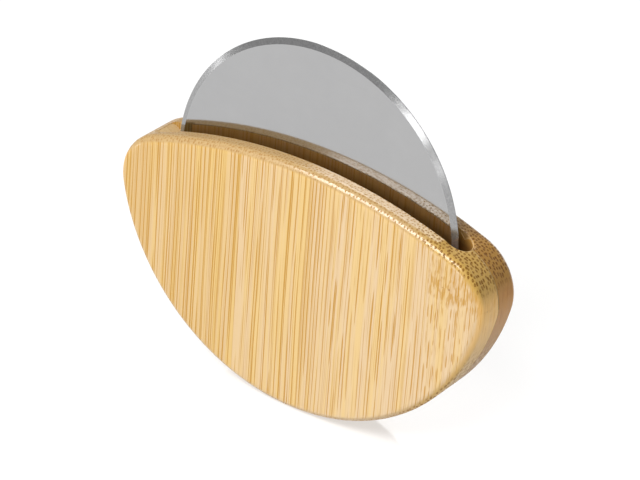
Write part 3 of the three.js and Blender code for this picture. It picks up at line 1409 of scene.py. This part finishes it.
@dataclass(frozen=True)
class AxleSet:
    """The pin across the pocket and the washers that the hubs run against."""

    axle: Vector
    pin_radius: float
    pin_half_length: float
    washer_radius: float
    washer_span: tuple[float, float]
    pin_steps: int = 72
    chamfer: float = 0.4 * MM
    drill_radius: float = 0.8 * MM
    drill_depth: float = 0.6 * MM
    washer_ease: float = 0.12 * MM

    def pin(self) -> Object:
        """Models the pin with chamfered ends and the lathe's centre marks.

        Returns:
            The finished pin.
        """
        end = self.pin_half_length
        mark = ((0.0, end - self.drill_depth), (self.drill_radius, end))
        rim = ((self.pin_radius - self.chamfer, end), (self.pin_radius, end - self.chamfer))
        return Turned("steel_axle_pin", self.axle, mirrored(mark + rim), self.pin_steps).build()

    def washer(self, side: Side) -> Object:
        """Models one punched washer with eased edges.

        Args:
            side: Which side of the wheel it is on.

        Returns:
            The finished washer.
        """
        bore = self.pin_radius + PRESS_FIT
        low, high = self.washer_span
        rim, ease = self.washer_radius, self.washer_ease
        profile = ((bore, low), (rim - ease, low), (rim, low + ease), (rim, high - ease))
        profile += ((rim - ease, high), (bore, high), (bore, low))
        return Turned(f"steel_{side.word}_washer", self.axle, side.place(profile)).build()

    def build(self) -> list[Piece]:
        """Models and dresses the pin and the washers.

        Returns:
            The finished pieces.
        """
        steel = TurnedSteel("turned_steel", self.axle).material()
        made = {"axle_pin": self.pin()}
        made |= {f"{side.word}_washer": self.washer(side) for side in Side}
        return [Piece(dress(thing, steel), HANDLE_BODY, "pin_steel", (node,)) for node, thing in made.items()]


@dataclass(frozen=True)
class DowelSet:
    """Fluted dowels across the seam, in the wall round the pocket."""

    places: dict[str, Vector]
    radius: float
    half_length: float
    chamfer: float = 0.4 * MM
    flutes: int = 12
    flute_share: float = 0.9
    steps_per_flute: int = 4
    aim_slack: float = 0.1
    sharp_degrees: float = 35.0

    def dowel(self, node: str, place: Vector) -> Object:
        """Models one dowel and presses its flutes in.

        Args:
            node: The dowel's name in the frame.
            place: Its middle.

        Returns:
            The finished dowel.
        """
        end = self.half_length
        profile = mirrored(
            ((0.0, -end), (self.radius - self.chamfer, -end), (self.radius, self.chamfer - end))
        )
        model = Turned(f"wood_{node}", place, profile, self.steps_per_flute * self.flutes).model()
        step = FULL_TURN / self.flutes
        slack = self.aim_slack * step

        def in_flute(edge: Edge) -> bool:
            """Whether the edge runs along the bottom of a flute."""
            low, high = (v.co - place for v in edge.verts)
            return abs(low.y - high.y) >= end and abs(math.remainder(math.atan2(low.z, low.x), step)) < slack

        model.select(Element.EDGE, in_flute)
        share = self.flute_share
        bpy.ops.transform.resize(value=(share, 1.0, share), center_override=place)
        return model.smooth(self.sharp_degrees)

    def build(self) -> list[Piece]:
        """Models and dresses the dowels.

        Returns:
            The finished pieces.
        """
        wood = DowelWood("dowel_wood").material()
        made = {node: dress(self.dowel(node, place), wood) for node, place in self.places.items()}
        return [Piece(dowel, HANDLE_BODY, "dowel_wood", (node,)) for node, dowel in made.items()]


@dataclass(frozen=True)
class PhotoCamera:
    """Camera that sees the cutter as the photograph does."""

    target: Vector
    azimuth: float = 34.63
    elevation: float = 29.78
    roll: float = math.radians(-3.75)
    distance: float = 770.4 * MM
    pixels_per_mm: float = 4.083
    target_pixel: tuple[float, float] = (314.77, 201.80)
    image: tuple[int, int] = (640, 480)
    sensor: float = 36.0

    def build(self) -> None:
        """Makes the camera, with the photograph's own tilt, and aims it."""
        toward = direction(self.azimuth, self.elevation)
        level = Vector((0.0, 0.0, 1.0)).cross(toward).normalized()
        rise = toward.cross(level)
        right = math.cos(self.roll) * level - math.sin(self.roll) * rise
        up = math.sin(self.roll) * level + math.cos(self.roll) * rise
        width, height = self.image
        per_metre = self.pixels_per_mm / MM
        shift_right = (width / 2 - self.target_pixel[0]) / per_metre
        shift_up = (self.target_pixel[1] - height / 2) / per_metre
        place = self.target + toward * self.distance + right * shift_right + up * shift_up
        data = bpy.data.cameras.new("photo_camera")
        data.sensor_width = self.sensor
        data.lens = per_metre * self.distance * self.sensor / width
        camera = bpy.data.objects.new("photo_camera", data)
        bpy.context.scene.collection.objects.link(camera)
        turn = Matrix((right, up, toward)).transposed().to_4x4()
        camera.matrix_world = Matrix.Translation(place) @ turn
        bpy.context.scene.camera = camera


@dataclass(frozen=True)
class Softbox:
    """A rectangular studio light that faces the cutter."""

    name: str
    azimuth: float
    elevation: float
    distance: float
    size: tuple[float, float]
    watts: float

    def build(self, target: Vector) -> None:
        """Hangs the light.

        Args:
            target: The point that it faces.
        """
        toward = direction(self.azimuth, self.elevation)
        data = bpy.data.lights.new(self.name, "AREA")
        data.shape = "RECTANGLE"
        data.size, data.size_y = self.size
        data.energy = self.watts
        lamp = bpy.data.objects.new(self.name, data)
        lamp.location = target + toward * self.distance
        lamp.rotation_euler = toward.to_track_quat("Z", "Y").to_euler()
        bpy.context.scene.collection.objects.link(lamp)


@dataclass(frozen=True)
class Studio:
    """White floor, soft lights, small cards that the blade mirrors, and an even pale surround."""

    target: Vector
    floor_size: float = 6.0
    floor_white: Colour = (0.43, 0.43, 0.43)
    floor_glow: float = 0.55
    floor_roughness: float = 0.12
    surround: float = 0.345
    lights: tuple[Softbox, ...] = (
        Softbox("main_softbox", -10.0, 53.0, 1.1, (1.0, 0.35), 11.2),
        Softbox("key_softbox", -19.0, 37.5, 1.1, (0.5, 0.36), 4.9),
        Softbox("back_softbox", 204.0, 38.0, 1.1, (0.45, 0.4), 1.8),
        Softbox("rear_fill", 172.0, 10.0, 1.1, (0.7, 0.35), 2.4),
        Softbox("left_card", -64.0, -5.5, 0.475, (0.042, 0.05), 0.04),
        Softbox("front_card", -0.5, 6.8, 0.6, (0.17, 0.1), 0.3),
        Softbox("right_card", 16.4, 1.2, 0.308, (0.034, 0.042), 0.008),
    )

    def floor(self) -> None:
        """Lays a plain floor with a faint sheen."""
        bpy.ops.object.select_all(action="DESELECT")
        bpy.ops.mesh.primitive_plane_add(size=self.floor_size)
        floor = bpy.context.object
        floor.name = "studio_floor"
        white = Paint("floor_white").finish(
            {
                "Base Color": (*self.floor_white, 1.0),
                "Roughness": self.floor_roughness,
                "Emission Color": (1.0, 1.0, 1.0, 1.0),
                "Emission Strength": self.floor_glow,
            }
        )
        dress(floor, white)

    def build(self) -> None:
        """Lays the floor, hangs the lights and sets the surround."""
        self.floor()
        for light in self.lights:
            light.build(self.target)
        world = bpy.data.worlds.new("studio_surround")
        world.use_nodes = True
        background = world.node_tree.nodes["Background"]
        background.inputs["Color"].default_value = (1.0, 1.0, 1.0, 1.0)
        background.inputs["Strength"].default_value = self.surround
        bpy.context.scene.world = world
        bpy.context.scene.view_settings.view_transform = "Standard"


def half_size(node: str) -> Vector:
    """Half of a node's size along each axis."""
    low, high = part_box(node)
    return (high - low) / 2


def middle(node: str) -> Vector:
    """The middle of a node's box."""
    low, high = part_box(node)
    return (high + low) / 2


def main() -> None:
    """Builds the cutter's sub-assemblies in order, then the studio, and reports each piece."""
    logging.basicConfig(level=logging.INFO, format="%(name)s: %(message)s")
    axle = middle("cutting_wheel")
    wheel = half_size("cutting_wheel")
    pin = half_size("axle_pin")
    dowels = {name: middle(name) for name in sorted(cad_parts) if name.endswith("_dowel")}
    dowel = half_size("left_upper_dowel")
    washer_low, washer_high = (corner.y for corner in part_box("rear_washer"))

    PhotoCamera(axle).build()
    pieces = BambooBody(
        Outline(axle),
        half_thickness=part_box("rear_half")[1].y,
        wheel_radius=wheel.z,
        pin_radius=pin.z,
        pin_half_length=pin.y,
        dowels=dowels,
        dowel_radius=dowel.z,
        dowel_half_length=dowel.y,
    ).build()
    pieces += CuttingWheel(
        axle,
        radius=wheel.z,
        half_thickness=wheel.y,
        hub_reach=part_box("rear_hub")[1].y,
        hub_radius=half_size("rear_hub").z,
    ).build()
    pieces += AxleSet(axle, pin.z, pin.y, half_size("rear_washer").z, (washer_low, washer_high)).build()
    pieces += DowelSet(dowels, dowel.z, dowel.y).build()
    for piece in pieces:
        piece.register()
    Studio(axle).build()


if __name__ == "__main__":
    main()
